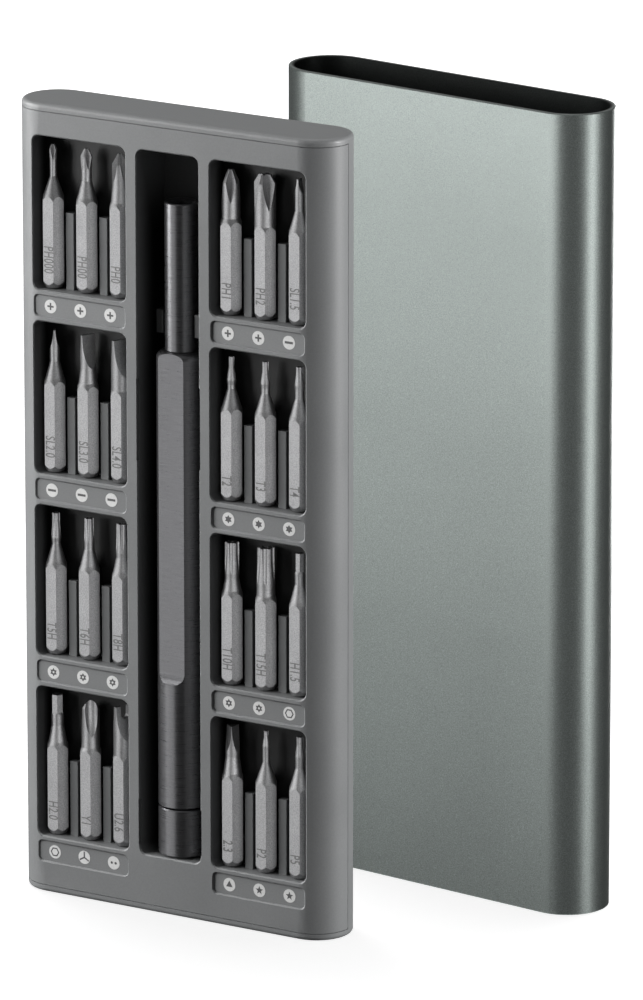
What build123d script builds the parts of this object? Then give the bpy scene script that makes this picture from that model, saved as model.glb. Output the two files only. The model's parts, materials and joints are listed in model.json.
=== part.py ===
from build123d import *
import math
import os

# Precision screwdriver set: a bit tray with its driver, and beside it the sleeve that the tray slides into.
# Millimetres, +Z up. Both stand on end. The origin is the middle of the pair's footprint, on the floor.
# Helpers work in the tray's own frame: X across its width, -Y out of its open front, Z up its height.

# ---- driving dimensions: tray ----
TRAY_WIDTH = 72.0
TRAY_THICKNESS = 14.0
TRAY_HEIGHT = 158.0
TRAY_SKIN = 1.3
END_PLATE = 1.4
END_ROUND = 0.8
SEAM = 0.12
EDGE_BREAK = 0.15
FRONT = -TRAY_THICKNESS / 2

# ---- pockets, channel and label recesses ----
ROWS = 4
SIDES = {"left": -1, "right": 1}
POCKET_WIDTH = 21.1
POCKET_HEIGHT = 30.4
POCKET_DEPTH = 5.3
POCKET_CORNER = 1.5
POCKET_X = 20.05
ROW_PITCH = 36.6
LOWEST_POCKET_Z = 11.5
TUB_WALL = 1.0
RIM_BREAK = 0.24
RIB_WIDTH = 1.85
RIB_HEIGHT = 15.2
RIB_FRONT_DEPTH = 2.8
CHANNEL_WIDTH = 13.8
CHANNEL_DEPTH = 10.2
CHANNEL_HEIGHT = (ROWS - 1) * ROW_PITCH + POCKET_HEIGHT
RELIEF_SIDE = 0.3
RELIEF_DEPTH = 0.7
RELIEFS_Z = ((13.4, 22.5), (90.4, 106.6))
LABEL_WIDTH = 20.5
LABEL_HEIGHT = 4.1
LABEL_DEPTH = 0.45
LABEL_DROP = 1.05
LABEL_CORNER = 0.9
POST_INNER = 3.5
POST_WIDTH = 1.6
POST_FRONT_DEPTH = 4.0
POST_Z = (115.2, 119.8)

# ---- pegs and magnets between the two shells ----
PEG_RADIUS = 1.0
PEG_CLEARANCE = 0.05
BOSS_RADIUS = 2.0
BOSS_END_Y = 1.0
PEG_END_Y = -3.5
MAGNET_SIZE = (18.0, 1.5, 5.0)
MAGNET_RISE = 8.0
MAGNET_SEAT = 0.4

# ---- bits ----
BIT_LENGTH = 28.0
BIT_FLATS = 4.0
BIT_PITCH = 7.6
BIT_AXIS_DEPTH = 3.0
BIT_LIFT = 0.3
BASE_RADIUS = 1.69
BASE_CHAMFER = 1.4
SHANK_RADIUS = 2.35
SHANK_TOP = 18.0
NECK_START = 21.8
SHOULDER_SLOPE = 0.36
KNEE_RADIUS = 1.8
BLUNT_RADIUS = 1.7
HEAD_TAPER = 2.4
FLARE_RING = 0.8
WHEEL_RIM = 4.0

# ---- driver ----
DRIVER_DEPTH = 5.0
DRIVER_Y = FRONT + DRIVER_DEPTH
HANDLE_RADIUS = 4.9
HANDLE_Z = (21.65, 112.3)
SHOULDER_ROUND = 1.5
GRIP_FLAT = 4.0
GRIP_END_Z = 48.8
GRIP_CUTTER = 3.4
HOLDER_RADIUS = 3.2
HOLDER_TOP_Z = 141.4
STEM_RADIUS = 2.5
STEM_LENGTH = 15.0
SOCKET_FLATS = 4.1
SOCKET_DEPTH = 12.0
SOCKET_MAGNET = (1.95, 2.0)
MOUTH_WALL = 0.4
MOUTH_DEPTH = 0.9
FIT = 0.02
CAP_Z = (11.9, 21.35)
CAP_BREAK = 0.2
BEARING_Z = (17.0, 20.0)
BEARING_RADII = (1.5, 2.1, 2.9, 3.5)
BALLS = 8
CAP_LIP_RADIUS = 2.3
CAP_DISC_TOP_Z = 13.1
SCREW_HEAD = (2.0, 1.6)
SCREW_TOP_Z = 27.0

# ---- sleeve ----
SLEEVE_WALL = 1.05
SLEEVE_CLEARANCE = 0.25
SLEEVE_HEIGHT = 159.2
SLEEVE_OFFSET = (32.6, 43.5)
SLEEVE_TURN = -6.5
SLEEVE_GROW = 2 * (SLEEVE_WALL + SLEEVE_CLEARANCE)
SLEEVE_WIDTH = TRAY_WIDTH + SLEEVE_GROW
SLEEVE_THICKNESS = TRAY_THICKNESS + SLEEVE_GROW

# ---- the pair's footprint, which places the tray about the origin ----
TURN = math.radians(abs(SLEEVE_TURN))
HALF_FLAT = (SLEEVE_WIDTH - SLEEVE_THICKNESS) / 2
SLEEVE_REACH_X = HALF_FLAT * math.cos(TURN) + SLEEVE_THICKNESS / 2
SLEEVE_REACH_Y = HALF_FLAT * math.sin(TURN) + SLEEVE_THICKNESS / 2
TRAY_AT = Pos(
    -(SLEEVE_OFFSET[0] + SLEEVE_REACH_X - TRAY_WIDTH / 2) / 2,
    -(SLEEVE_OFFSET[1] + SLEEVE_REACH_Y + FRONT) / 2,
    0,
)


def save(part, name):
    """Writes a part, built in the tray's frame, as one node in the pair's frame."""
    export_step(TRAY_AT * part, f"parts/{name}.step")


# ---- plain shapes ----


def capsule(width, thickness, low, high):
    """An upright prism whose section is a flat bar with fully rounded ends."""
    return Pos(0, 0, low) * extrude(SlotOverall(width, thickness), high - low)


def cylinder(radius, low, high):
    """An upright cylinder on the Z axis."""
    return Cylinder(radius, high - low, align=(Align.CENTER, Align.CENTER, Align.MIN)).moved(Pos(0, 0, low))


def block(x, y, z):
    """A box between two limits along each axis."""
    size = [high - low for low, high in (x, y, z)]
    return Pos(x[0], y[0], z[0]) * Box(*size, align=(Align.MIN, Align.MIN, Align.MIN))


def into_front(section, x, z, depth):
    """A prism of an X-Z section, centred at (x, z), that reaches depth behind the front face."""
    return Pos(x, FRONT + depth, z) * extrude(Plane.XZ * section, depth + 1)


def along_y(radius, x, z, low, high):
    """A cylinder along Y."""
    return Pos(x, high, z) * extrude(Plane.XZ * Circle(radius), high - low)


def turned(*outline):
    """A solid of revolution about Z from (radius, height) points, lowest first."""
    points = [(0, outline[0][1]), *outline, (0, outline[-1][1])]
    return revolve(Plane.XZ * make_face(Polyline(*points, close=True)), Axis.Z)


def hexagon(flats):
    """A hexagon with two flats facing front and back."""
    return RegularPolygon(flats / 2, 6, major_radius=False)


# ---- tray ----


def pocket_floor_z(row):
    """Height of a row's pocket floor, counting rows from the top."""
    return LOWEST_POCKET_Z + (ROWS - 1 - row) * ROW_PITCH


def pocket_places():
    """Name, centre X and floor Z of every pocket."""
    for row in range(ROWS):
        for side, sign in SIDES.items():
            yield f"{side}_{row + 1}", sign * POCKET_X, pocket_floor_z(row)


def label_centre_z(floor_z):
    return floor_z - LABEL_DROP - LABEL_HEIGHT / 2


def front_half(solid):
    """The part of a solid in front of the seam."""
    return solid & block((-TRAY_WIDTH, TRAY_WIDTH), (-TRAY_WIDTH, -SEAM / 2), (0, TRAY_HEIGHT))


def pocket_cutters():
    section = RectangleRounded(POCKET_WIDTH, POCKET_HEIGHT, POCKET_CORNER)
    return [into_front(section, x, z + POCKET_HEIGHT / 2, POCKET_DEPTH) for _, x, z in pocket_places()]


def channel_cutter():
    section = RectangleRounded(CHANNEL_WIDTH, CHANNEL_HEIGHT, POCKET_CORNER)
    return into_front(section, 0, LOWEST_POCKET_Z + CHANNEL_HEIGHT / 2, CHANNEL_DEPTH)


def relief_cutters():
    """Shallow finger reliefs that widen the channel's rim a little."""
    half = CHANNEL_WIDTH / 2 + RELIEF_SIDE
    return [block((-half, half), (FRONT - 1, FRONT + RELIEF_DEPTH), z) for z in RELIEFS_Z]


def label_cutters():
    section = RectangleRounded(LABEL_WIDTH, LABEL_HEIGHT, LABEL_CORNER)
    return [into_front(section, x, label_centre_z(z), LABEL_DEPTH) for _, x, z in pocket_places()]


def tub(x, width, low, high, depth):
    """The closed box around a pocket or the channel, from the skin to behind its floor."""
    half = width / 2 + TUB_WALL
    return block((x - half, x + half), (FRONT + TRAY_SKIN / 2, FRONT + depth + TUB_WALL), (low, high))


def divider_ribs():
    """Two ribs a pocket, standing on its floor between the bits."""
    front, back = FRONT + RIB_FRONT_DEPTH, FRONT + POCKET_DEPTH + TUB_WALL / 2
    for _, x, z in pocket_places():
        for side in SIDES.values():
            middle = x + side * BIT_PITCH / 2
            sides = (middle - RIB_WIDTH / 2, middle + RIB_WIDTH / 2)
            rib = block(sides, (front, back), (z - TUB_WALL / 2, z + RIB_HEIGHT))
            yield fillet(rib.edges().filter_by(Axis.Z).group_by(Axis.Y)[0], EDGE_BREAK)


def retaining_posts():
    """Two posts that rise from the channel floor, one each side of the bit holder."""
    back = FRONT + CHANNEL_DEPTH + TUB_WALL / 2
    for side in SIDES.values():
        sides = sorted((side * POST_INNER, side * (POST_INNER + POST_WIDTH)))
        post = block(sides, (FRONT + POST_FRONT_DEPTH, back), POST_Z)
        yield fillet(post.edges().group_by(Axis.Y)[0], EDGE_BREAK)


def peg_places():
    """X and Z of the pegs, behind the label recesses."""
    return [(x, label_centre_z(z)) for _, x, z in pocket_places()]


def chamfered_rims(shell):
    """Breaks the front edge of every opening in the front face."""
    reach = TRAY_WIDTH / 2 - POCKET_CORNER * 2
    rims = [
        edge
        for edge in shell.edges()
        if edge.bounding_box().max.Y < FRONT + 0.3
        and abs(edge.center().X) < reach
        and END_PLATE + 1 < edge.center().Z < TRAY_HEIGHT - END_PLATE - 1
        and edge.length < CHANNEL_HEIGHT
        and not (edge.length > POCKET_HEIGHT * 1.5 and abs(edge.center().X) > POCKET_X)
    ]
    return chamfer(rims, RIM_BREAK)


def tray_front_shell():
    low, high = END_PLATE + SEAM, TRAY_HEIGHT - END_PLATE - SEAM
    inner = TRAY_THICKNESS - 2 * TRAY_SKIN
    outer = front_half(capsule(TRAY_WIDTH, TRAY_THICKNESS, low, high))
    hollow = capsule(TRAY_WIDTH - 2 * TRAY_SKIN, inner, low + TRAY_SKIN, high - TRAY_SKIN)
    shell = outer - hollow
    for _, x, z in pocket_places():
        box = tub(x, POCKET_WIDTH, z - TUB_WALL, z + POCKET_HEIGHT + TUB_WALL, POCKET_DEPTH)
        shell += box & capsule(TRAY_WIDTH - TRAY_SKIN, TRAY_THICKNESS, low, high)
    top = LOWEST_POCKET_Z + CHANNEL_HEIGHT + TUB_WALL
    shell += tub(0, CHANNEL_WIDTH, LOWEST_POCKET_Z - TUB_WALL, top, CHANNEL_DEPTH)
    for x, z in peg_places():
        shell += along_y(BOSS_RADIUS, x, z, FRONT + TRAY_SKIN / 2, BOSS_END_Y)
    for cutter in [*pocket_cutters(), channel_cutter(), *label_cutters()]:
        shell -= cutter
    shell = chamfered_rims(shell)
    for cutter in relief_cutters():
        shell -= cutter
    for x, z in peg_places():
        shell -= along_y(PEG_RADIUS + PEG_CLEARANCE, x, z, PEG_END_Y - 1, BOSS_END_Y + 1)
    for _, x, z in pocket_places():
        shell -= magnet(x, z)
    for addition in [*divider_ribs(), *retaining_posts()]:
        shell += addition
    return shell


def tray_back_shell():
    """The back half of the skin, with both end plates and the locating pegs."""
    inner = TRAY_THICKNESS - 2 * TRAY_SKIN
    whole = capsule(TRAY_WIDTH, TRAY_THICKNESS, 0, TRAY_HEIGHT)
    ends = whole.edges().group_by(Axis.Z)[0] + whole.edges().group_by(Axis.Z)[-1]
    whole = fillet(ends, END_ROUND)
    low, high = END_PLATE, TRAY_HEIGHT - END_PLATE
    shell = whole - block((-TRAY_WIDTH, TRAY_WIDTH), (-TRAY_WIDTH, SEAM / 2), (low, high))
    shell -= capsule(TRAY_WIDTH - 2 * TRAY_SKIN, inner, low, high)
    for x, z in peg_places():
        shell += along_y(PEG_RADIUS, x, z, PEG_END_Y, -FRONT - TRAY_SKIN / 2)
        shell += along_y(BOSS_RADIUS, x, z, BOSS_END_Y + SEAM, -FRONT - TRAY_SKIN / 2)
    return shell


def magnet(x, floor_z):
    """The bar magnet behind one pocket floor."""
    width, thick, tall = MAGNET_SIZE
    front = FRONT + POCKET_DEPTH + TUB_WALL - MAGNET_SEAT
    low = floor_z + MAGNET_RISE
    return block((x - width / 2, x + width / 2), (front, front + thick), (low, low + tall))


# ---- bits: each is built on the Z axis, base at 0, tip at BIT_LENGTH, one flat facing -Y ----


def shank(neck, top=NECK_START):
    """The hexagon shank, pointed to a round neck."""
    return pointed_hexagon((KNEE_RADIUS, slope_height(KNEE_RADIUS)), (neck, top))


def blunt_shank():
    """The hexagon shank of a bit whose neck is nearly as wide as its flats."""
    return pointed_hexagon((BLUNT_RADIUS, slope_height(BLUNT_RADIUS)))


def slope_height(radius):
    """Where the point's first slope is down to a radius."""
    return SHANK_TOP + (BIT_FLATS / 2 - radius) / SHOULDER_SLOPE


def pointed_hexagon(*point):
    """The hexagon bar of a shank, chamfered at its base and pointed through the given places."""
    shoulder = (SHANK_RADIUS, slope_height(SHANK_RADIUS))
    envelope = turned((BASE_RADIUS, 0), (SHANK_RADIUS, BASE_CHAMFER), shoulder, *point)
    return extrude(hexagon(BIT_FLATS), point[-1][1]) & envelope


def vee_rim(opening=90):
    """The section of a wheel's pointed rim."""
    half = WHEEL_RIM * math.tan(math.radians(opening / 2))
    return make_face(Polyline((0, 0), (WHEEL_RIM, -half), (WHEEL_RIM, half), close=True))


def round_rim(radius):
    """The section of a wheel's round rim."""
    return Pos(radius, 0) * Circle(radius)


def flat_rim():
    """The section of a wheel's flat rim."""
    return Pos(WHEEL_RIM / 2, 0) * Rectangle(WHEEL_RIM, 2 * WHEEL_RIM)


def wheel(rim, root, end_radius, length):
    """A grinding wheel: its rim is root from the axis at the tip and leaves at end_radius, length below."""
    depth = end_radius - root
    radius = (length**2 + depth**2) / (2 * depth)
    return revolve(Pos(root, 0, BIT_LENGTH) * rim, Axis((root + radius, 0, BIT_LENGTH), (0, 1, 0)))


def ground(tip, cutter, first, count):
    """A tip ground by the same wheel at even turns."""
    for turn in range(count):
        tip -= Rot(0, 0, first + 360 * turn / count) * cutter
    return tip


def cross_tip(neck, head, nose, flat, length, first, blunt=False):
    """A cross-head bit: the neck widens a little to the head, whose pointed nose has four flutes."""
    low = SHANK_TOP if blunt else NECK_START
    widest = BIT_LENGTH - nose
    tip = turned((neck, low), (neck, widest - HEAD_TAPER), (head, widest), (flat, BIT_LENGTH))
    tip = ground(tip, wheel(vee_rim(), 0.2 * head, head, length), first, 4)
    return (blunt_shank() if blunt else shank(neck)) + tip


def blade_tip(neck, thick, length, angle, width=None, low=NECK_START):
    """A slotted bit: two hollow-ground faces that run out on the neck."""
    tip = turned((neck, low), (neck, BIT_LENGTH - length), ((width or 2 * neck) / 2, BIT_LENGTH))
    tip = ground(tip, wheel(flat_rim(), thick / 2, neck, length), angle + 90, 2)
    return (blunt_shank() if low == SHANK_TOP else shank(neck, low)) + tip


def star_tip(head, flare, neck, length, lobes=6, pin_hole=False, low=NECK_START):
    """A six-lobed or five-lobed bit, with or without the hole that clears a security pin."""
    ring = BIT_LENGTH - length
    straight = BIT_LENGTH - 0.45 * length
    outline = [(neck, low), (neck, ring - FLARE_RING), (flare, ring), (head, straight)]
    tip = turned(*outline, (head, BIT_LENGTH))
    size = (0.48 if lobes == 6 else 0.6) * head
    tip = ground(tip, wheel(round_rim(size), 0.72 * head, flare, length), 0, lobes)
    if pin_hole:
        tip -= cylinder(0.36 * head, BIT_LENGTH - 1.2, BIT_LENGTH + 1)
    return shank(neck, low) + tip


def hexagon_tip(flats, neck, length=4.0):
    """A bit for hexagon socket screws."""
    start = BIT_LENGTH - length
    shoulder = turned((neck, NECK_START), (neck, start), (flats / 2, start + 0.5))
    return shank(neck) + shoulder + Pos(0, 0, start) * extrude(hexagon(flats), length)


def triangle_tip(reach, neck, length):
    """A three-sided bit, its hollow-ground faces running out on the neck."""
    tip = cylinder(neck, NECK_START, BIT_LENGTH)
    return shank(neck) + ground(tip, wheel(flat_rim(), reach, neck, length), -5, 3)


def three_wing_tip(neck, length, low):
    """A domed bit with three wings between round hollows."""
    dome = [(neck, low), (neck, 26.5), (0.69 * neck, 27.4), (0.29 * neck, 27.9), (0.12 * neck, BIT_LENGTH)]
    return shank(neck, low) + ground(turned(*dome), wheel(round_rim(1.35), 0.3, neck, length), -49, 3)


def forked_tip(neck, thick, length, angle, slot):
    """A slotted bit whose blade is notched into two prongs."""
    bit = blade_tip(neck, thick, length, angle, low=SHANK_TOP)
    notch = Rot(90, 0, 0) * Cylinder(slot / 2, 3 * BIT_FLATS)
    opening = Box(slot, 3 * BIT_FLATS, slot, align=(Align.CENTER, Align.CENTER, Align.MIN))
    return bit - Rot(0, 0, angle) * Pos(0, 0, BIT_LENGTH - slot) * (notch + opening)


# The bits, three to a pocket, from the top row down, left pocket then right pocket.
BITS = {
    "bit_cross_000": lambda: cross_tip(0.67, 0.88, 1.0, 0.38, 3.6, first=32),
    "bit_cross_00": lambda: cross_tip(1.0, 1.15, 1.4, 0.45, 4.5, first=55),
    "bit_cross_0": lambda: cross_tip(1.5, 1.5, 2.0, 0.4, 5.6, first=67),
    "bit_cross_1": lambda: cross_tip(1.77, 1.77, 2.4, 0.58, 6.4, first=30, blunt=True),
    "bit_cross_2": lambda: cross_tip(2.05, 2.15, 1.6, 1.2, 7.2, first=53, blunt=True),
    "bit_slotted_1_5": lambda: blade_tip(0.87, 0.3, 2.8, 90, width=1.5),
    "bit_slotted_2": lambda: blade_tip(0.93, 0.4, 3.8, 120),
    "bit_slotted_3": lambda: blade_tip(1.5, 0.5, 6.5, 68, low=21.2),
    "bit_slotted_4": lambda: blade_tip(1.97, 0.7, 7.2, 68, low=SHANK_TOP),
    "bit_star_2": lambda: star_tip(0.5, 0.92, 0.8, 4.6),
    "bit_star_3": lambda: star_tip(0.585, 0.95, 0.84, 4.3),
    "bit_star_4": lambda: star_tip(0.675, 0.95, 0.88, 3.6),
    "bit_star_5_pin": lambda: star_tip(0.735, 0.96, 0.87, 4.9, pin_hole=True),
    "bit_star_6_pin": lambda: star_tip(0.9, 1.02, 1.0, 4.6, pin_hole=True),
    "bit_star_8_pin": lambda: star_tip(1.16, 1.26, 1.22, 5.7, pin_hole=True, low=21.3),
    "bit_star_10_pin": lambda: star_tip(1.36, 1.4, 1.36, 6.1, pin_hole=True, low=20.8),
    "bit_star_15_pin": lambda: star_tip(1.63, 1.77, 1.76, 7.1, pin_hole=True, low=19.8),
    "bit_hexagon_1_5": lambda: hexagon_tip(1.5, 0.95),
    "bit_hexagon_2": lambda: hexagon_tip(2.0, 1.2),
    "bit_three_wing_1": lambda: three_wing_tip(1.74, 7.0, low=20.6),
    "bit_forked_2_6": lambda: forked_tip(1.97, 0.8, 6.8, 66, 1.7),
    "bit_triangle_2_3": lambda: triangle_tip(0.7, 1.35, 5.2),
    "bit_five_lobe_2": lambda: star_tip(0.45, 0.72, 0.69, 3.0, lobes=5),
    "bit_five_lobe_5": lambda: star_tip(0.68, 0.92, 0.88, 3.9, lobes=5),
}


def bit_places():
    """Every bit's place, in the order of BITS."""
    for _, x, z in pocket_places():
        for column in (-1, 0, 1):
            yield Pos(x + column * BIT_PITCH, FRONT + BIT_AXIS_DEPTH, z + BIT_LIFT)


# ---- driver: each piece is built on the driver's axis ----


def grip_cutter():
    """The tool path that mills one grip flat and leaves a curved run-out at its lower end."""
    side = 3 * HANDLE_RADIUS
    flat = block((-side, side), (-GRIP_FLAT - side, -GRIP_FLAT), (GRIP_END_Z, TRAY_HEIGHT))
    wheel = Pos(0, -GRIP_FLAT - GRIP_CUTTER, GRIP_END_Z) * Rot(0, 90, 0) * Cylinder(GRIP_CUTTER, 2 * side)
    return flat + wheel


def handle_body():
    low, high = HANDLE_Z
    handle = cylinder(HANDLE_RADIUS, low, high)
    handle = fillet(handle.edges().group_by(Axis.Z)[-1], SHOULDER_ROUND)
    handle = chamfer(handle.edges().group_by(Axis.Z)[0], CAP_BREAK)
    for turn in range(3):
        handle -= Rot(0, 0, 120 * turn) * grip_cutter()
    handle -= cylinder(STEM_RADIUS + FIT, high - STEM_LENGTH - FIT, high + 1)
    handle += cylinder(SCREW_HEAD[0], BEARING_Z[1], low + 1)
    return handle - cylinder(BEARING_RADII[0] + FIT, BEARING_Z[1] - 1, SCREW_TOP_Z + 1)


def bit_holder():
    """The tube that takes a bit, pressed into the handle by its stem."""
    low = HANDLE_Z[1] + FIT
    tube = cylinder(HOLDER_RADIUS, low, HOLDER_TOP_Z)
    ends = tube.edges().group_by(Axis.Z)[0] + tube.edges().group_by(Axis.Z)[-1]
    tube = chamfer(ends, EDGE_BREAK)
    tube += cylinder(STEM_RADIUS, low - STEM_LENGTH, low + 1)
    tube -= Pos(0, 0, HOLDER_TOP_Z - SOCKET_DEPTH) * extrude(hexagon(SOCKET_FLATS), SOCKET_DEPTH + 1)
    mouth = HOLDER_RADIUS - MOUTH_WALL
    funnel = turned((mouth - MOUTH_DEPTH, HOLDER_TOP_Z - MOUTH_DEPTH), (mouth + 0.1, HOLDER_TOP_Z + 0.1))
    return tube - funnel


def socket_magnet():
    radius, thick = SOCKET_MAGNET
    low = HOLDER_TOP_Z - SOCKET_DEPTH + FIT
    return cylinder(radius, low, low + thick)


def ring(inner, outer, low, high):
    return cylinder(outer, low, high) - cylinder(inner, low - 1, high + 1)


def bearing_balls():
    _, inner, outer, _ = BEARING_RADII
    pitch, radius = (inner + outer) / 2, (outer - inner) / 2 - FIT
    middle = sum(BEARING_Z) / 2
    turns = [Rot(0, 0, 360 * n / BALLS) for n in range(BALLS)]
    return Compound(children=[turn * Pos(pitch, 0, middle) * Sphere(radius) for turn in turns])


def cap_screw():
    """The shoulder screw that the end cap turns on."""
    radius, thick = SCREW_HEAD
    head_top = BEARING_Z[0] - FIT
    screw = cylinder(radius, head_top - thick, head_top)
    screw += cylinder(BEARING_RADII[0] - FIT, head_top, SCREW_TOP_Z)
    drive = Pos(0, 0, head_top - thick) * extrude(hexagon(1.5), 0.9)
    return screw - drive


def end_cap():
    low, high = CAP_Z
    cap = cylinder(HANDLE_RADIUS, low, high)
    cap = chamfer(cap.edges().group_by(Axis.Z)[0] + cap.edges().group_by(Axis.Z)[-1], CAP_BREAK)
    cap -= cylinder(BEARING_RADII[3] + FIT, low - 1, BEARING_Z[1] + FIT)
    return cap - cylinder(CAP_LIP_RADIUS, low, high + 1)


def driver_parts():
    """Every driver piece by name."""
    inner_bore, inner, outer, outer_rim = BEARING_RADII
    return {
        "handle_body": handle_body(),
        "bit_holder": bit_holder(),
        "socket_magnet": socket_magnet(),
        "bearing_inner_race": ring(inner_bore, inner, BEARING_Z[0], BEARING_Z[1] - FIT),
        "bearing_outer_race": ring(outer, outer_rim, *BEARING_Z),
        "bearing_balls": bearing_balls(),
        "cap_screw": cap_screw(),
        "end_cap": end_cap(),
        "cap_disc": cylinder(outer_rim, CAP_Z[0], CAP_DISC_TOP_Z),
    }


# ---- sleeve ----


def sleeve():
    """One length of extruded tube, open at both ends."""
    outer = capsule(SLEEVE_WIDTH, SLEEVE_THICKNESS, 0, SLEEVE_HEIGHT)
    bore_width, bore_thickness = SLEEVE_WIDTH - 2 * SLEEVE_WALL, SLEEVE_THICKNESS - 2 * SLEEVE_WALL
    tube = outer - capsule(bore_width, bore_thickness, -1, SLEEVE_HEIGHT + 1)
    ends = tube.edges().group_by(Axis.Z)[0] + tube.edges().group_by(Axis.Z)[-1]
    tube = chamfer(ends, EDGE_BREAK)
    return Pos(*SLEEVE_OFFSET, 0) * Rot(0, 0, SLEEVE_TURN) * tube


def main():
    os.makedirs("parts", exist_ok=True)
    save(tray_front_shell(), "tray_front_shell")
    save(tray_back_shell(), "tray_back_shell")
    save(sleeve(), "sleeve")
    for name, x, z in pocket_places():
        save(magnet(x, z), f"bit_magnet_{name}")
    for (name, build), place in zip(BITS.items(), bit_places()):
        save(place * build(), name)
    for name, piece in driver_parts().items():
        save(Pos(0, DRIVER_Y, 0) * piece, name)


main()
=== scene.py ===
import json
import math

import bpy
import bmesh
from mathutils import Matrix, Vector


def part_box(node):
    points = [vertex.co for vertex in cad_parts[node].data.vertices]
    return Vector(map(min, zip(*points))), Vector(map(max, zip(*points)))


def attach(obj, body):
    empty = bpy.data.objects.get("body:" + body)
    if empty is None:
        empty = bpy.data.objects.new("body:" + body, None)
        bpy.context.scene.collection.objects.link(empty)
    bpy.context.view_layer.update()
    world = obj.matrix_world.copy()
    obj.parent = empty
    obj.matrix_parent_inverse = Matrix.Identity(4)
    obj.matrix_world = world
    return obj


# Looks of the precision screwdriver set. Metres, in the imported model's frame.

MM = 0.001
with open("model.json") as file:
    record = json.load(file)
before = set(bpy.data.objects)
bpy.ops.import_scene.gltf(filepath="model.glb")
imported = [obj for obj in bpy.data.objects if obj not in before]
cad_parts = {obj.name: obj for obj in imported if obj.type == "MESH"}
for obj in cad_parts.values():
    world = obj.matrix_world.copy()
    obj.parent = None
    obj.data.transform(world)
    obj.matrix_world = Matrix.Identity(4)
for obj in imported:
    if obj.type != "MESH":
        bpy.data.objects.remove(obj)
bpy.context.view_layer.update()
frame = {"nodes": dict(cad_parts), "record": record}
NODES = frame["nodes"]

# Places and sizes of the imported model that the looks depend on.
TRAY_LOW, TRAY_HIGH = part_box("tray_back_shell")
TRAY_X = (TRAY_LOW.x + TRAY_HIGH.x) / 2
TRAY_Y = (TRAY_LOW.y + TRAY_HIGH.y) / 2
FACE_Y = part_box("tray_front_shell")[0].y
POCKET_DEPTH = 5.3 * MM
CHANNEL_DEPTH = 10.2 * MM
CHANNEL_HALF = 7.4 * MM
SKIN_START = 31.0 * MM
BIT_FLATS = 4.0 * MM
BIT_FACE_DEPTH = 1.0 * MM

SLEEVE_LOW, SLEEVE_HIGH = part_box("sleeve")
SLEEVE_MIDDLE = ((SLEEVE_LOW.x + SLEEVE_HIGH.x) / 2, (SLEEVE_LOW.y + SLEEVE_HIGH.y) / 2)
SLEEVE_TURN = math.radians(-6.5)
# Half the width of the sleeve's flats, the radius of its round edges, and a line inside its 1 mm wall.
SLEEVE_FLAT = 29.0 * MM
SLEEVE_RADIUS = 8.3 * MM
WALL_MIDDLE = SLEEVE_RADIUS - 0.5 * MM

# ---------------------------------------------------------------- materials


class Shader:
    """A material's node tree, with short calls to build it."""

    def __init__(self, name):
        self.material = bpy.data.materials.new(name)
        self.material.use_nodes = True
        self.tree = self.material.node_tree
        self.tree.nodes.clear()
        self.output = self.add("ShaderNodeOutputMaterial")
        self.surface = self.add("ShaderNodeBsdfPrincipled")
        self.link(self.surface.outputs["BSDF"], self.output.inputs["Surface"])
        self.place = self.add("ShaderNodeTexCoord").outputs["Object"]

    def add(self, kind, **settings):
        node = self.tree.nodes.new(kind)
        for key, value in settings.items():
            setattr(node, key, value)
        return node

    def link(self, source, target):
        self.tree.links.new(source, target)

    def set(self, **values):
        """Sets the surface's own sockets; an underscore stands for a space."""
        for key, value in values.items():
            self.surface.inputs[key.replace("_", " ")].default_value = value

    def stretched(self, scale):
        """Object coordinates, scaled along each axis."""
        node = self.add("ShaderNodeMapping")
        self.link(self.place, node.inputs["Vector"])
        node.inputs["Scale"].default_value = scale
        return node.outputs["Vector"]

    def noise(self, scale, detail=3.0, roughness=0.55, vector=None):
        node = self.add("ShaderNodeTexNoise")
        self.link(vector or self.place, node.inputs["Vector"])
        node.inputs["Scale"].default_value = scale
        node.inputs["Detail"].default_value = detail
        node.inputs["Roughness"].default_value = roughness
        return node.outputs["Fac"]

    def cells(self, scale):
        node = self.add("ShaderNodeTexVoronoi")
        self.link(self.place, node.inputs["Vector"])
        node.inputs["Scale"].default_value = scale
        return node.outputs["Distance"]

    def remap(self, value, low, high, start=0.3, end=0.7):
        node = self.add("ShaderNodeMapRange")
        self.link(value, node.inputs["Value"])
        for key, number in (("From Min", start), ("From Max", end), ("To Min", low), ("To Max", high)):
            node.inputs[key].default_value = number
        return node.outputs["Result"]

    def math(self, operation, first, second):
        node = self.add("ShaderNodeMath", operation=operation)
        for socket, value in zip(node.inputs, (first, second)):
            if isinstance(value, (int, float)):
                socket.default_value = value
            else:
                self.link(value, socket)
        return node.outputs["Value"]

    def tint(self, color, shade):
        """The base colour, multiplied by a varying shade."""
        node = self.add("ShaderNodeMix", data_type="RGBA", blend_type="MULTIPLY")
        node.inputs["Factor"].default_value = 1.0
        node.inputs["A"].default_value = (*color, 1.0)
        self.link(shade, node.inputs["B"])
        self.link(node.outputs["Result"], self.surface.inputs["Base Color"])

    def bump(self, height, distance, strength=1.0):
        node = self.add("ShaderNodeBump")
        node.inputs["Strength"].default_value = strength
        node.inputs["Distance"].default_value = distance
        self.link(height, node.inputs["Height"])
        self.link(node.outputs["Normal"], self.surface.inputs["Normal"])

    def roughness(self, value):
        self.link(value, self.surface.inputs["Roughness"])


# Depths behind the front face where the painted shade of each recess starts and is darkest, and its darkest
# painted shade.
POCKET_FADE = (2.4 * MM, POCKET_DEPTH - 0.6 * MM)
POCKET_PAINTED_SHADE = 0.05
CHANNEL_FADE = (0.6 * MM, 0.6 * CHANNEL_DEPTH)
CHANNEL_PAINTED_SHADE = 0.03
# Heights between which painted light lifts the painted shade at the upper end of the channel, and its shade
# there.
CHANNEL_TOP = (134 * MM, 153 * MM)
CHANNEL_TOP_PAINTED_SHADE = 0.9
SEAM_SLACK = 0.5 * MM
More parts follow.
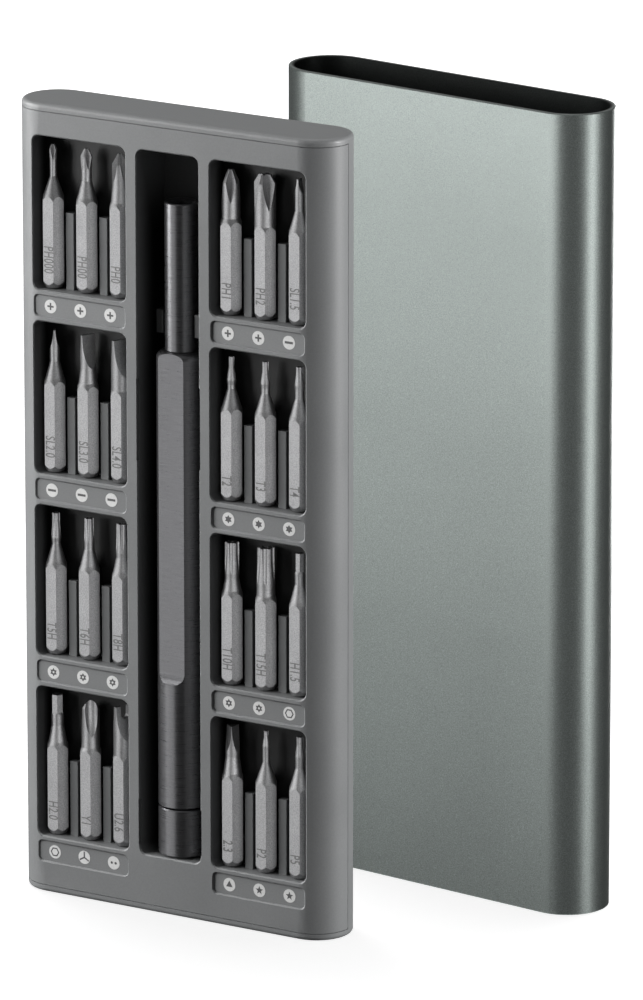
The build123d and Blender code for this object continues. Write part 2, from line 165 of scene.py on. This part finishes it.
# The painted shade of the sleeve's bore, and how deep in the wall it turns back into full colour.
BORE_PAINTED_SHADE = 0.12
BORE_FADE = (WALL_MIDDLE - 0.3 * MM, WALL_MIDDLE)


def moulded_plastic(name, color, rough):
    """Satin plastic with a fine spark-eroded grain and a faint mottle, and painted shade that darkens the depth
    of a recess.
    """
    s = Shader(name)
    grain = s.noise(3200, 2.0)
    mottle = s.noise(60, 4.0)
    fine = s.math("MULTIPLY", s.remap(grain, 0.95, 1.05), s.remap(mottle, 0.96, 1.04))
    # The base colour carries painted shade in the recesses.
    s.tint(color, s.math("MULTIPLY", fine, painted_recess_shade(s)))
    s.roughness(s.remap(mottle, rough - 0.04, rough + 0.04))
    s.set(Specular_IOR_Level=0.42)
    s.bump(grain, 0.012 * MM, 0.6)
    return s.material


def painted_recess_shade(s):
    """Painted recess shade: full colour on the face, falling to nearly black at the floor of a pocket and of
    the deeper channel.
    """
    split = s.add("ShaderNodeSeparateXYZ")
    s.link(s.place, split.inputs["Vector"])
    depth = s.math("SUBTRACT", split.outputs["Y"], FACE_Y)
    across = s.math("ABSOLUTE", s.math("SUBTRACT", split.outputs["X"], TRAY_X), 0.0)
    in_channel = s.math("LESS_THAN", across, CHANNEL_HALF)
    behind_seam = s.math("GREATER_THAN", depth, POCKET_DEPTH + SEAM_SLACK)
    # Painted shade: the colour darkens with depth behind the front face, where the shade of a recess falls.
    pocket = s.remap(depth, 1.0, POCKET_PAINTED_SHADE, *POCKET_FADE)
    channel = s.remap(depth, 1.0, CHANNEL_PAINTED_SHADE, *CHANNEL_FADE)
    # Painted light: the painted shade at the channel's upper end is lifted lighter.
    painted_top_light = s.remap(split.outputs["Z"], 0.0, CHANNEL_TOP_PAINTED_SHADE, *CHANNEL_TOP)
    channel = s.math("MAXIMUM", channel, painted_top_light)
    outside = s.math("MAXIMUM", pocket, behind_seam)
    on_skin = s.math("GREATER_THAN", across, SKIN_START)
    outside = s.math("MAXIMUM", outside, on_skin)
    blend = s.add("ShaderNodeMix", data_type="FLOAT")
    s.link(in_channel, blend.inputs["Factor"])
    s.link(outside, blend.inputs["A"])
    s.link(channel, blend.inputs["B"])
    return blend.outputs["Result"]


def blasted_aluminium(name, color, rough):
    """Bead-blasted, anodised aluminium: tiny dimples that sparkle, under an even satin, with painted shade in
    the bore.
    """
    s = Shader(name)
    beads = s.cells(4600)
    grain = s.noise(5200, 2.0)
    fleck = s.math("MULTIPLY", s.remap(grain, 0.78, 1.22), s.remap(beads, 0.9, 1.1, 0.0, 0.8))
    wide = s.math("MULTIPLY", fleck, s.remap(s.noise(45, 3.0), 0.98, 1.02))
    # The base colour carries painted shade on the wall of the bore.
    s.tint(color, s.math("MULTIPLY", wide, painted_bore_shade(s)))
    s.roughness(s.remap(grain, rough - 0.06, rough + 0.06))
    s.set(Metallic=0.8)
    s.bump(s.math("ADD", grain, beads), 0.02 * MM, 0.5)
    return s.material


def painted_bore_shade(s):
    """Painted bore shade: full colour on the outside of the sleeve, dark on the wall of its bore."""
    turn = s.add("ShaderNodeMapping", vector_type="TEXTURE")
    s.link(s.place, turn.inputs["Vector"])
    turn.inputs["Location"].default_value = (*SLEEVE_MIDDLE, 0.0)
    turn.inputs["Rotation"].default_value = (0.0, 0.0, SLEEVE_TURN)
    split = s.add("ShaderNodeSeparateXYZ")
    s.link(turn.outputs["Vector"], split.inputs["Vector"])
    along = s.math("SUBTRACT", s.math("ABSOLUTE", split.outputs["X"], 0.0), SLEEVE_FLAT)
    beyond = s.math("MAXIMUM", along, 0.0)
    squares = s.math("ADD", s.math("POWER", beyond, 2.0), s.math("POWER", split.outputs["Y"], 2.0))
    # Painted shade: the bore's wall is darkened where the shadow inside the sleeve falls.
    return s.remap(s.math("SQRT", squares, 0.0), BORE_PAINTED_SHADE, 1.0, *BORE_FADE)


def turned_aluminium(name, color, rough, lines):
    """Fine machined lines across or along the axis, anodised dark."""
    s = Shader(name)
    marks = s.noise(1.0, 3.0, vector=s.stretched(lines))
    grain = s.noise(4000, 2.0)
    s.tint(color, s.math("MULTIPLY", s.remap(marks, 0.88, 1.12), s.remap(grain, 0.93, 1.07)))
    s.roughness(s.remap(marks, rough - 0.05, rough + 0.05))
    s.set(Metallic=0.85)
    s.bump(s.math("ADD", s.math("MULTIPLY", marks, 0.6), grain), 0.008 * MM, 0.5)
    return s.material


def satin_steel(name, color, rough):
    """Fine-ground steel with a satin plating."""
    s = Shader(name)
    grain = s.noise(4500, 3.0)
    grind = s.noise(1.0, 3.0, vector=s.stretched((6000, 6000, 900)))
    mottle = s.noise(220, 3.0)
    shade = s.math("MULTIPLY", s.remap(grain, 0.78, 1.22), s.remap(grind, 0.92, 1.08))
    s.tint(color, s.math("MULTIPLY", shade, s.remap(mottle, 0.95, 1.05)))
    s.roughness(s.remap(grind, rough - 0.06, rough + 0.06))
    s.set(Metallic=1.0)
    s.bump(s.math("ADD", grain, grind), 0.008 * MM, 0.5)
    return s.material


def printed_ink(name, color, rough):
    """A thin printed film with a slightly uneven surface."""
    s = Shader(name)
    grain = s.noise(3500, 2.0)
    s.tint(color, s.remap(grain, 0.93, 1.05))
    s.roughness(s.remap(grain, rough - 0.05, rough + 0.05))
    s.bump(grain, 0.006 * MM, 0.4)
    return s.material


TRAY = moulded_plastic("tray_plastic", (0.165, 0.169, 0.171), 0.45)
BACK = printed_ink("tray_back_plastic", (0.165, 0.169, 0.171), 0.45)
SLEEVE = blasted_aluminium("sleeve_aluminium", (0.27, 0.30, 0.288), 0.38)
DRIVER = turned_aluminium("driver_aluminium", (0.125, 0.125, 0.13), 0.31, (300, 300, 5000))
STEEL = satin_steel("bit_steel", (0.33, 0.33, 0.335), 0.46)
POLISHED = satin_steel("bearing_steel", (0.62, 0.62, 0.63), 0.22)
PLATED = satin_steel("magnet_plating", (0.66, 0.65, 0.62), 0.26)
MARK = printed_ink("mark_dark", (0.12, 0.12, 0.12), 0.6)
DISC = printed_ink("print_light", (0.57, 0.57, 0.565), 0.55)
SYMBOL = printed_ink("print_dark", (0.07, 0.07, 0.072), 0.6)

BY_SLOT = {
    "tray_plastic": TRAY,
    "sleeve_aluminium": SLEEVE,
    "driver_aluminium": DRIVER,
    "bit_steel": STEEL,
    "bearing_steel": POLISHED,
    "magnet_plating": PLATED,
}
SLOT_OF = {entry["node"]: entry["material_slot"] for entry in frame["record"]["subparts"]}

SHARP_ANGLE = math.radians(24)
BEVEL_ANGLE = math.radians(28)
BIT_EDGE = 0.05 * MM
FLAT_SLACK = 0.01 * MM
UPRIGHT_SLACK = 0.001


def dress(node, material):
    """Gives a CAD node its material."""
    mesh = NODES[node].data
    mesh.materials.clear()
    mesh.materials.append(material)
    mesh.shade_smooth()
    mesh.set_sharp_from_angle(angle=SHARP_ANGLE)


def crisp_flats(node):
    """Marks the borders of a bit's six flats as sharp, so that they don't shade into its point."""
    low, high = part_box(node)
    middle = Vector(((low.x + high.x) / 2, (low.y + high.y) / 2))
    mesh = NODES[node].data
    borders = {}
    for polygon in mesh.polygons:
        across = polygon.normal.xy
        reach = (polygon.center.xy - middle).dot(across)
        upright = abs(polygon.normal.z) < UPRIGHT_SLACK
        flat = upright and abs(reach - BIT_FLATS / 2) < FLAT_SLACK
        for edge in polygon.edge_keys:
            borders.setdefault(edge, []).append(flat)
    sharp = mesh.attributes["sharp_edge"].data
    for edge in mesh.edges:
        if len(set(borders[tuple(sorted(edge.vertices))])) == 2:
            sharp[edge.index].value = True


def soften(node, width):
    """A tiny round along a node's sharp edges, as grinding and plating leave."""
    bevel = NODES[node].modifiers.new("edges", "BEVEL")
    bevel.width = width
    bevel.segments = 2
    bevel.limit_method = "ANGLE"
    bevel.angle_limit = BEVEL_ANGLE
    bevel.harden_normals = True


for node in NODES:
    dress(node, BY_SLOT[SLOT_OF[node]])
    if SLOT_OF[node] == "bit_steel":
        crisp_flats(node)
        soften(node, BIT_EDGE)
# The back shell shows no recess, so it takes the same plastic colour without the painted recess shade.
NODES["tray_back_shell"].data.materials[0] = BACK

# ---------------------------------------------------------------- thin printed and stamped pieces


def piece(name, bm, material, body):
    """Adds a finished mesh piece that rides on a body."""
    mesh = bpy.data.meshes.new(name)
    bmesh.ops.recalc_face_normals(bm, faces=bm.faces)
    bm.to_mesh(mesh)
    bm.free()
    mesh.materials.append(material)
    obj = bpy.data.objects.new(name, mesh)
    bpy.context.scene.collection.objects.link(obj)
    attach(obj, body)


def circle(radius, count, turn=0.0, middle=(0.0, 0.0)):
    """Points round a circle, in the plane of the front face."""
    angles = [turn + math.tau * k / count for k in range(count)]
    return [(middle[0] + radius * math.cos(a), middle[1] + radius * math.sin(a)) for a in angles]


def star(outer, inner, points, turn=math.pi / 2):
    """The outline of a star."""
    out = []
    for k in range(points):
        for radius, step in ((outer, 0.0), (inner, 0.5)):
            angle = turn + math.tau * (k + step) / points
            out.append((radius * math.cos(angle), radius * math.sin(angle)))
    return out


def bar(width, height, middle=(0.0, 0.0)):
    """The outline of an upright rectangle."""
    x, y = middle
    w, h = width / 2, height / 2
    return [(x - w, y - h), (x + w, y - h), (x + w, y + h), (x - w, y + h)]


def cross(size, thick):
    """The outline of a plus sign."""
    s, t = size / 2, thick / 2
    arm = [(t, t), (t, s), (-t, s)]
    turned = [(-y, x) for x, y in arm]
    return [*arm, *turned, *((-x, -y) for x, y in arm), *((-x, -y) for x, y in turned)]


def blade(turn, radius, thick):
    """One of the gaps between three wings: a bar from the middle to the rim."""
    c, s = math.cos(turn), math.sin(turn)
    corners = [(0.0, -thick / 2), (radius, -thick / 2), (radius, thick / 2), (0.0, thick / 2)]
    return [(x * c - y * s, x * s + y * c) for x, y in corners]


def prism(bm, outline, centre, surface_y, thick):
    """A thin raised plate on a face that looks towards -Y; the outline is in millimetres."""
    low = [bm.verts.new((centre[0] + x * MM, surface_y, centre[1] + z * MM)) for x, z in outline]
    high = [bm.verts.new((v.co.x, surface_y - thick, v.co.z)) for v in low]
    bm.faces.new(low)
    bm.faces.new(high)
    for k in range(len(low)):
        n = (k + 1) % len(low)
        bm.faces.new((low[k], low[n], high[n], high[k]))


HOLE = ("light", circle(0.22, 20))
SYMBOLS = {
    "plus": [("dark", cross(1.42, 0.36))],
    "minus": [("dark", bar(1.8, 0.46))],
    "star": [("dark", star(0.85, 0.5, 6))],
    "star_pin": [("dark", star(0.85, 0.52, 6)), HOLE],
    "hexagon": [("dark", circle(1.0, 6)), ("light", circle(0.7, 6))],
    "wings": [("dark", blade(math.radians(a), 1.2, 0.3)) for a in (90, 210, 330)],
    "dots": [("dark", circle(0.26, 20, middle=(x, 0.0))) for x in (-0.45, 0.45)],
    "triangle": [("dark", circle(0.85, 3, math.pi / 2))],
    "five": [("dark", star(0.88, 0.38, 5))],
}
ICONS = {
    ("left", 1): ("plus", "plus", "plus"),
    ("right", 1): ("plus", "plus", "minus"),
    ("left", 2): ("minus", "minus", "minus"),
    ("right", 2): ("star", "star", "star"),
    ("left", 3): ("star_pin", "star_pin", "star_pin"),
    ("right", 3): ("star_pin", "star_pin", "hexagon"),
    ("left", 4): ("hexagon", "wings", "dots"),
    ("right", 4): ("triangle", "five", "five"),
}
LABEL_DEPTH = 0.45 * MM
DISC_FILM = 0.03 * MM
SYMBOL_FILM = {"dark": 0.012 * MM, "light": 0.02 * MM}
DISC_RADIUS = 1.34
DISC_PITCH = 6.8 * MM
# How far a label recess's middle lies below its pocket, and a magnet's lower end above the pocket's lower edge.
LABEL_DROP = 3.1 * MM
MAGNET_RISE = 8.0 * MM
DISC_DROP = LABEL_DROP + MAGNET_RISE


def icons():
    """A row of printed discs in each label recess, under its pocket."""
    for (side, row), names in ICONS.items():
        low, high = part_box(f"bit_magnet_{side}_{row}")
        middle, height = (low.x + high.x) / 2, low.z - DISC_DROP
        surface = FACE_Y + LABEL_DEPTH
        discs, light, dark = bmesh.new(), bmesh.new(), bmesh.new()
        for column, name in zip((-1, 0, 1), names):
            centre = (middle + column * DISC_PITCH, height)
            prism(discs, circle(DISC_RADIUS, 48), centre, surface, DISC_FILM)
            for shade, outline in SYMBOLS[name]:
                target = dark if shade == "dark" else light
                prism(target, outline, centre, surface - DISC_FILM, SYMBOL_FILM[shade])
        piece(f"icon_discs_{side}_{row}", discs, DISC, "tray")
        piece(f"icon_symbols_{side}_{row}", dark, SYMBOL, "tray")
        if light.verts:
            piece(f"icon_centres_{side}_{row}", light, DISC, "tray")
        else:
            light.free()


icons()

SIZES = {
    "bit_cross_000": "PH000",
    "bit_cross_00": "PH00",
    "bit_cross_0": "PH0",
    "bit_cross_1": "PH1",
    "bit_cross_2": "PH2",
    "bit_slotted_1_5": "SL1.5",
    "bit_slotted_2": "SL2.0",
    "bit_slotted_3": "SL3.0",
    "bit_slotted_4": "SL4.0",
    "bit_star_2": "T2",
    "bit_star_3": "T3",
    "bit_star_4": "T4",
    "bit_star_5_pin": "T5H",
    "bit_star_6_pin": "T6H",
    "bit_star_8_pin": "T8H",
    "bit_star_10_pin": "T10H",
    "bit_star_15_pin": "T15H",
    "bit_hexagon_1_5": "H1.5",
    "bit_hexagon_2": "H2.0",
    "bit_three_wing_1": "Y1",
    "bit_forked_2_6": "U2.6",
    "bit_triangle_2_3": "2.3",
    "bit_five_lobe_2": "P2",
    "bit_five_lobe_5": "P5",
}
TEXT_SIZE = 3.05 * MM
TEXT_SQUEEZE = 0.62
TEXT_BOLD = 0.035 * MM
TEXT_SPACING = 1.06
TEXT_END = 2.9 * MM
TEXT_RISE = 0.004 * MM
TEXT_FILM = 0.006 * MM


def size_marks():
    """The size of each bit, stamped on its front flat and reading downwards."""
    for node, words in SIZES.items():
        low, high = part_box(node)
        curve = bpy.data.curves.new(f"mark_{node}", "FONT")
        curve.body = words
        curve.size = TEXT_SIZE
        curve.offset = TEXT_BOLD
        curve.space_character = TEXT_SPACING
        curve.extrude = TEXT_FILM
        curve.align_x = "RIGHT"
        curve.align_y = "CENTER"
        curve.materials.append(MARK)
        obj = bpy.data.objects.new(f"mark_{node}", curve)
        bpy.context.scene.collection.objects.link(obj)
        flat = FACE_Y + BIT_FACE_DEPTH
        place = Vector(((low.x + high.x) / 2, flat - TEXT_RISE, low.z + TEXT_END))
        turn = Matrix(((0, 1, 0), (0, 0, -1), (-1, 0, 0)))
        squeeze = Matrix.Scale(TEXT_SQUEEZE, 4, (1, 0, 0))
        obj.matrix_world = Matrix.Translation(place) @ turn.to_4x4() @ squeeze
        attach(obj, node)


size_marks()

# ---------------------------------------------------------------- room, lights and camera


def sheet_of(name, size, height, color, glow):
    """A flat sheet of studio paper."""
    bm = bmesh.new()
    bmesh.ops.create_grid(bm, x_segments=8, y_segments=8, size=size)
    mesh = bpy.data.meshes.new(name)
    bm.to_mesh(mesh)
    bm.free()
    s = Shader(f"{name}_paper")
    s.tint(color, s.remap(s.noise(400, 3.0), 0.99, 1.0))
    s.set(Roughness=0.9, Specular_IOR_Level=0.1, Emission_Color=(1.0, 1.0, 1.0, 1.0), Emission_Strength=glow)
    mesh.materials.append(s.material)
    obj = bpy.data.objects.new(name, mesh)
    obj.location.z = height
    bpy.context.scene.collection.objects.link(obj)
    return obj


SHEET_HALF = 20.0
CARD_HEIGHT = 0.2 * MM


def floor():
    """The white floor, and a grey card on it that only dims what the floor throws back at the object."""
    sheet_of("floor", SHEET_HALF, 0.0, (0.86, 0.86, 0.86), 0.72)
    card = sheet_of("card", SHEET_HALF, CARD_HEIGHT, (0.22, 0.22, 0.22), 0.0)
    card.visible_camera = False
    card.visible_shadow = False


def area_light(name, place, target, size, power, only=(), skip=(), through=()):
    """A softbox. It can light only some objects, skip some, or shine through some."""
    light = bpy.data.lights.new(name, "AREA")
    light.shape = "RECTANGLE"
    light.size, light.size_y = size
    light.energy = power
    obj = bpy.data.objects.new(name, light)
    bpy.context.scene.collection.objects.link(obj)
    obj.location = place
    obj.rotation_euler = (Vector(target) - Vector(place)).to_track_quat("-Z", "Y").to_euler()
    obj.visible_camera = False
    if only or skip:
        obj.light_linking.receiver_collection = light_set(f"{name}_lights", only or skip, bool(only))
    if through:
        obj.light_linking.blocker_collection = light_set(f"{name}_shadows", through, False)


def light_set(name, objects, included):
    """The objects that a light reaches, or that it leaves out."""
    group = bpy.data.collections.new(name)
    for obj in objects:
        group.objects.link(obj)
    for entry in group.collection_objects:
        entry.light_linking.link_state = "INCLUDE" if included else "EXCLUDE"
    return group


def around(degrees, distance, height):
    """A place round the object: 0 is towards +X, 90 towards +Y."""
    a = math.radians(degrees)
    return Vector((distance * math.cos(a), distance * math.sin(a), height))


WORLD_GLOW = 0.16
AIM_HEIGHT = 0.08
GROUND_NAMES = ("floor", "card")

# Each softbox: the azimuth, distance and height of its middle, what it aims at, its width and height, its
# power in watts, and the groups that it lights alone, skips or shines through. The low ones stand in for the
# glow of a bright table under the metal.
SLEEVE_ALONE = {"only": ("sleeve",), "through": ("others", "ground")}
METAL_FROM_BELOW = {"only": ("bits", "driver"), "through": ("ground",)}
SOFTBOXES = {
    "key": (-150, 0.55, 0.24, "set", (0.44, 0.42), 7.2, {"skip": ("ground", "sleeve", "bits", "driver")}),
    "driver_key": (-158, 0.6, 0.22, "set", (0.5, 0.5), 11.0, {"only": ("driver",)}),
    "bit_key": (-140, 0.6, 0.16, "set", (0.9, 0.5), 2.7, {"only": ("bits",)}),
    "table_bounce": (-122, 0.6, -0.1, "set", (0.5, 0.3), 0.75, METAL_FROM_BELOW),
    "side_bounce": (-32, 0.6, 0.02, "set", (0.4, 0.3), 1.1, {"only": ("bits",), "through": ("ground",)}),
    "bit_front": (-62, 0.6, 0.0, "set", (0.3, 0.3), 0.3, {"only": ("bits",), "through": ("ground",)}),
    "driver_side": (-32, 0.6, 0.02, "set", (0.4, 0.3), 0.22, {"only": ("driver",), "through": ("ground",)}),
    "sleeve_key": (-120, 0.55, 0.16, "sleeve", (0.5, 0.46), 2.15, SLEEVE_ALONE),
    "sleeve_front": (-125, 0.7, 0.4, "sleeve", (0.22, 0.4), 0.9, {"only": ("sleeve",)}),
    "top": (-100, 0.25, 1.2, "set", (0.9, 0.9), 0.5, {}),
    "right_strip": (13, 0.7, 0.22, "set", (0.18, 0.4), 8.0, {"skip": ("ground", "bits", "driver", "sleeve")}),
    "sleeve_strip": (-3, 0.7, 0.04, "sleeve", (0.28, 0.4), 1.55, SLEEVE_ALONE),
    "back_fill": (121, 0.8, 1.2, "set", (0.6, 0.5), 3.0, {"skip": ("ground",)}),
    "back_key": (107, 0.8, 0.0, "sleeve", (0.6, 0.3), 3.8, {"skip": ("ground",), "through": ("ground",)}),
}
BACKDROP_SPOT = Vector((-0.9, 1.6, 0.0))
BACKDROP_HEIGHT = 1.6
BACKDROP_SIZE = (3.0, 3.0)
BACKDROP_POWER = 60.0


def studio():
    """A dim white world and the softboxes."""
    world = bpy.data.worlds.new("studio")
    world.use_nodes = True
    background = world.node_tree.nodes["Background"]
    background.inputs["Color"].default_value = (1, 1, 1, 1)
    background.inputs["Strength"].default_value = WORLD_GLOW
    bpy.context.scene.world = world
    aims = {"set": (0.0, 0.0, AIM_HEIGHT), "sleeve": (*SLEEVE_MIDDLE, AIM_HEIGHT)}
    groups = {
        "ground": [bpy.data.objects[name] for name in GROUND_NAMES],
        "sleeve": [NODES["sleeve"]],
        "others": [NODES[n] for n in NODES if n != "sleeve"],
        "bits": [NODES[n] for n in NODES if SLOT_OF[n] == "bit_steel"],
        "driver": [NODES[n] for n in NODES if SLOT_OF[n] == "driver_aluminium"],
    }
    for name, (azimuth, distance, height, aim, size, power, links) in SOFTBOXES.items():
        linked = {key: [obj for group in names for obj in groups[group]] for key, names in links.items()}
        area_light(name, around(azimuth, distance, height), aims[aim], size, power, **linked)
    above = BACKDROP_SPOT + Vector((0.0, 0.0, BACKDROP_HEIGHT))
    area_light("backdrop", above, BACKDROP_SPOT, BACKDROP_SIZE, BACKDROP_POWER, only=groups["ground"][:1])


SENSOR = 36.0
CLIPPING = (0.05, 50.0)
FOCAL_PIXELS = 9000.0
FRAME_HEIGHT = 1000.0
AZIMUTH = math.radians(31.35)
ELEVATION = math.radians(15.42)
DISTANCE = 1.7294
LOOK_AT = Vector((TRAY_X + 21.92 * MM, TRAY_Y + 13.36 * MM, 81.96 * MM))


def camera():
    """The photo's angle, through a long lens."""
    data = bpy.data.cameras.new("camera")
    data.sensor_fit = "VERTICAL"
    data.sensor_height = SENSOR
    data.lens = FOCAL_PIXELS * data.sensor_height / FRAME_HEIGHT
    data.clip_start, data.clip_end = CLIPPING
    obj = bpy.data.objects.new("camera", data)
    bpy.context.scene.collection.objects.link(obj)
    forward = Vector((
        -math.sin(AZIMUTH) * math.cos(ELEVATION),
        math.cos(AZIMUTH) * math.cos(ELEVATION),
        -math.sin(ELEVATION),
    ))
    obj.location = LOOK_AT - forward * DISTANCE
    obj.rotation_euler = forward.to_track_quat("-Z", "Y").to_euler()
    bpy.context.scene.camera = obj


floor()
studio()
camera()
bpy.context.scene.view_settings.view_transform = "Standard"
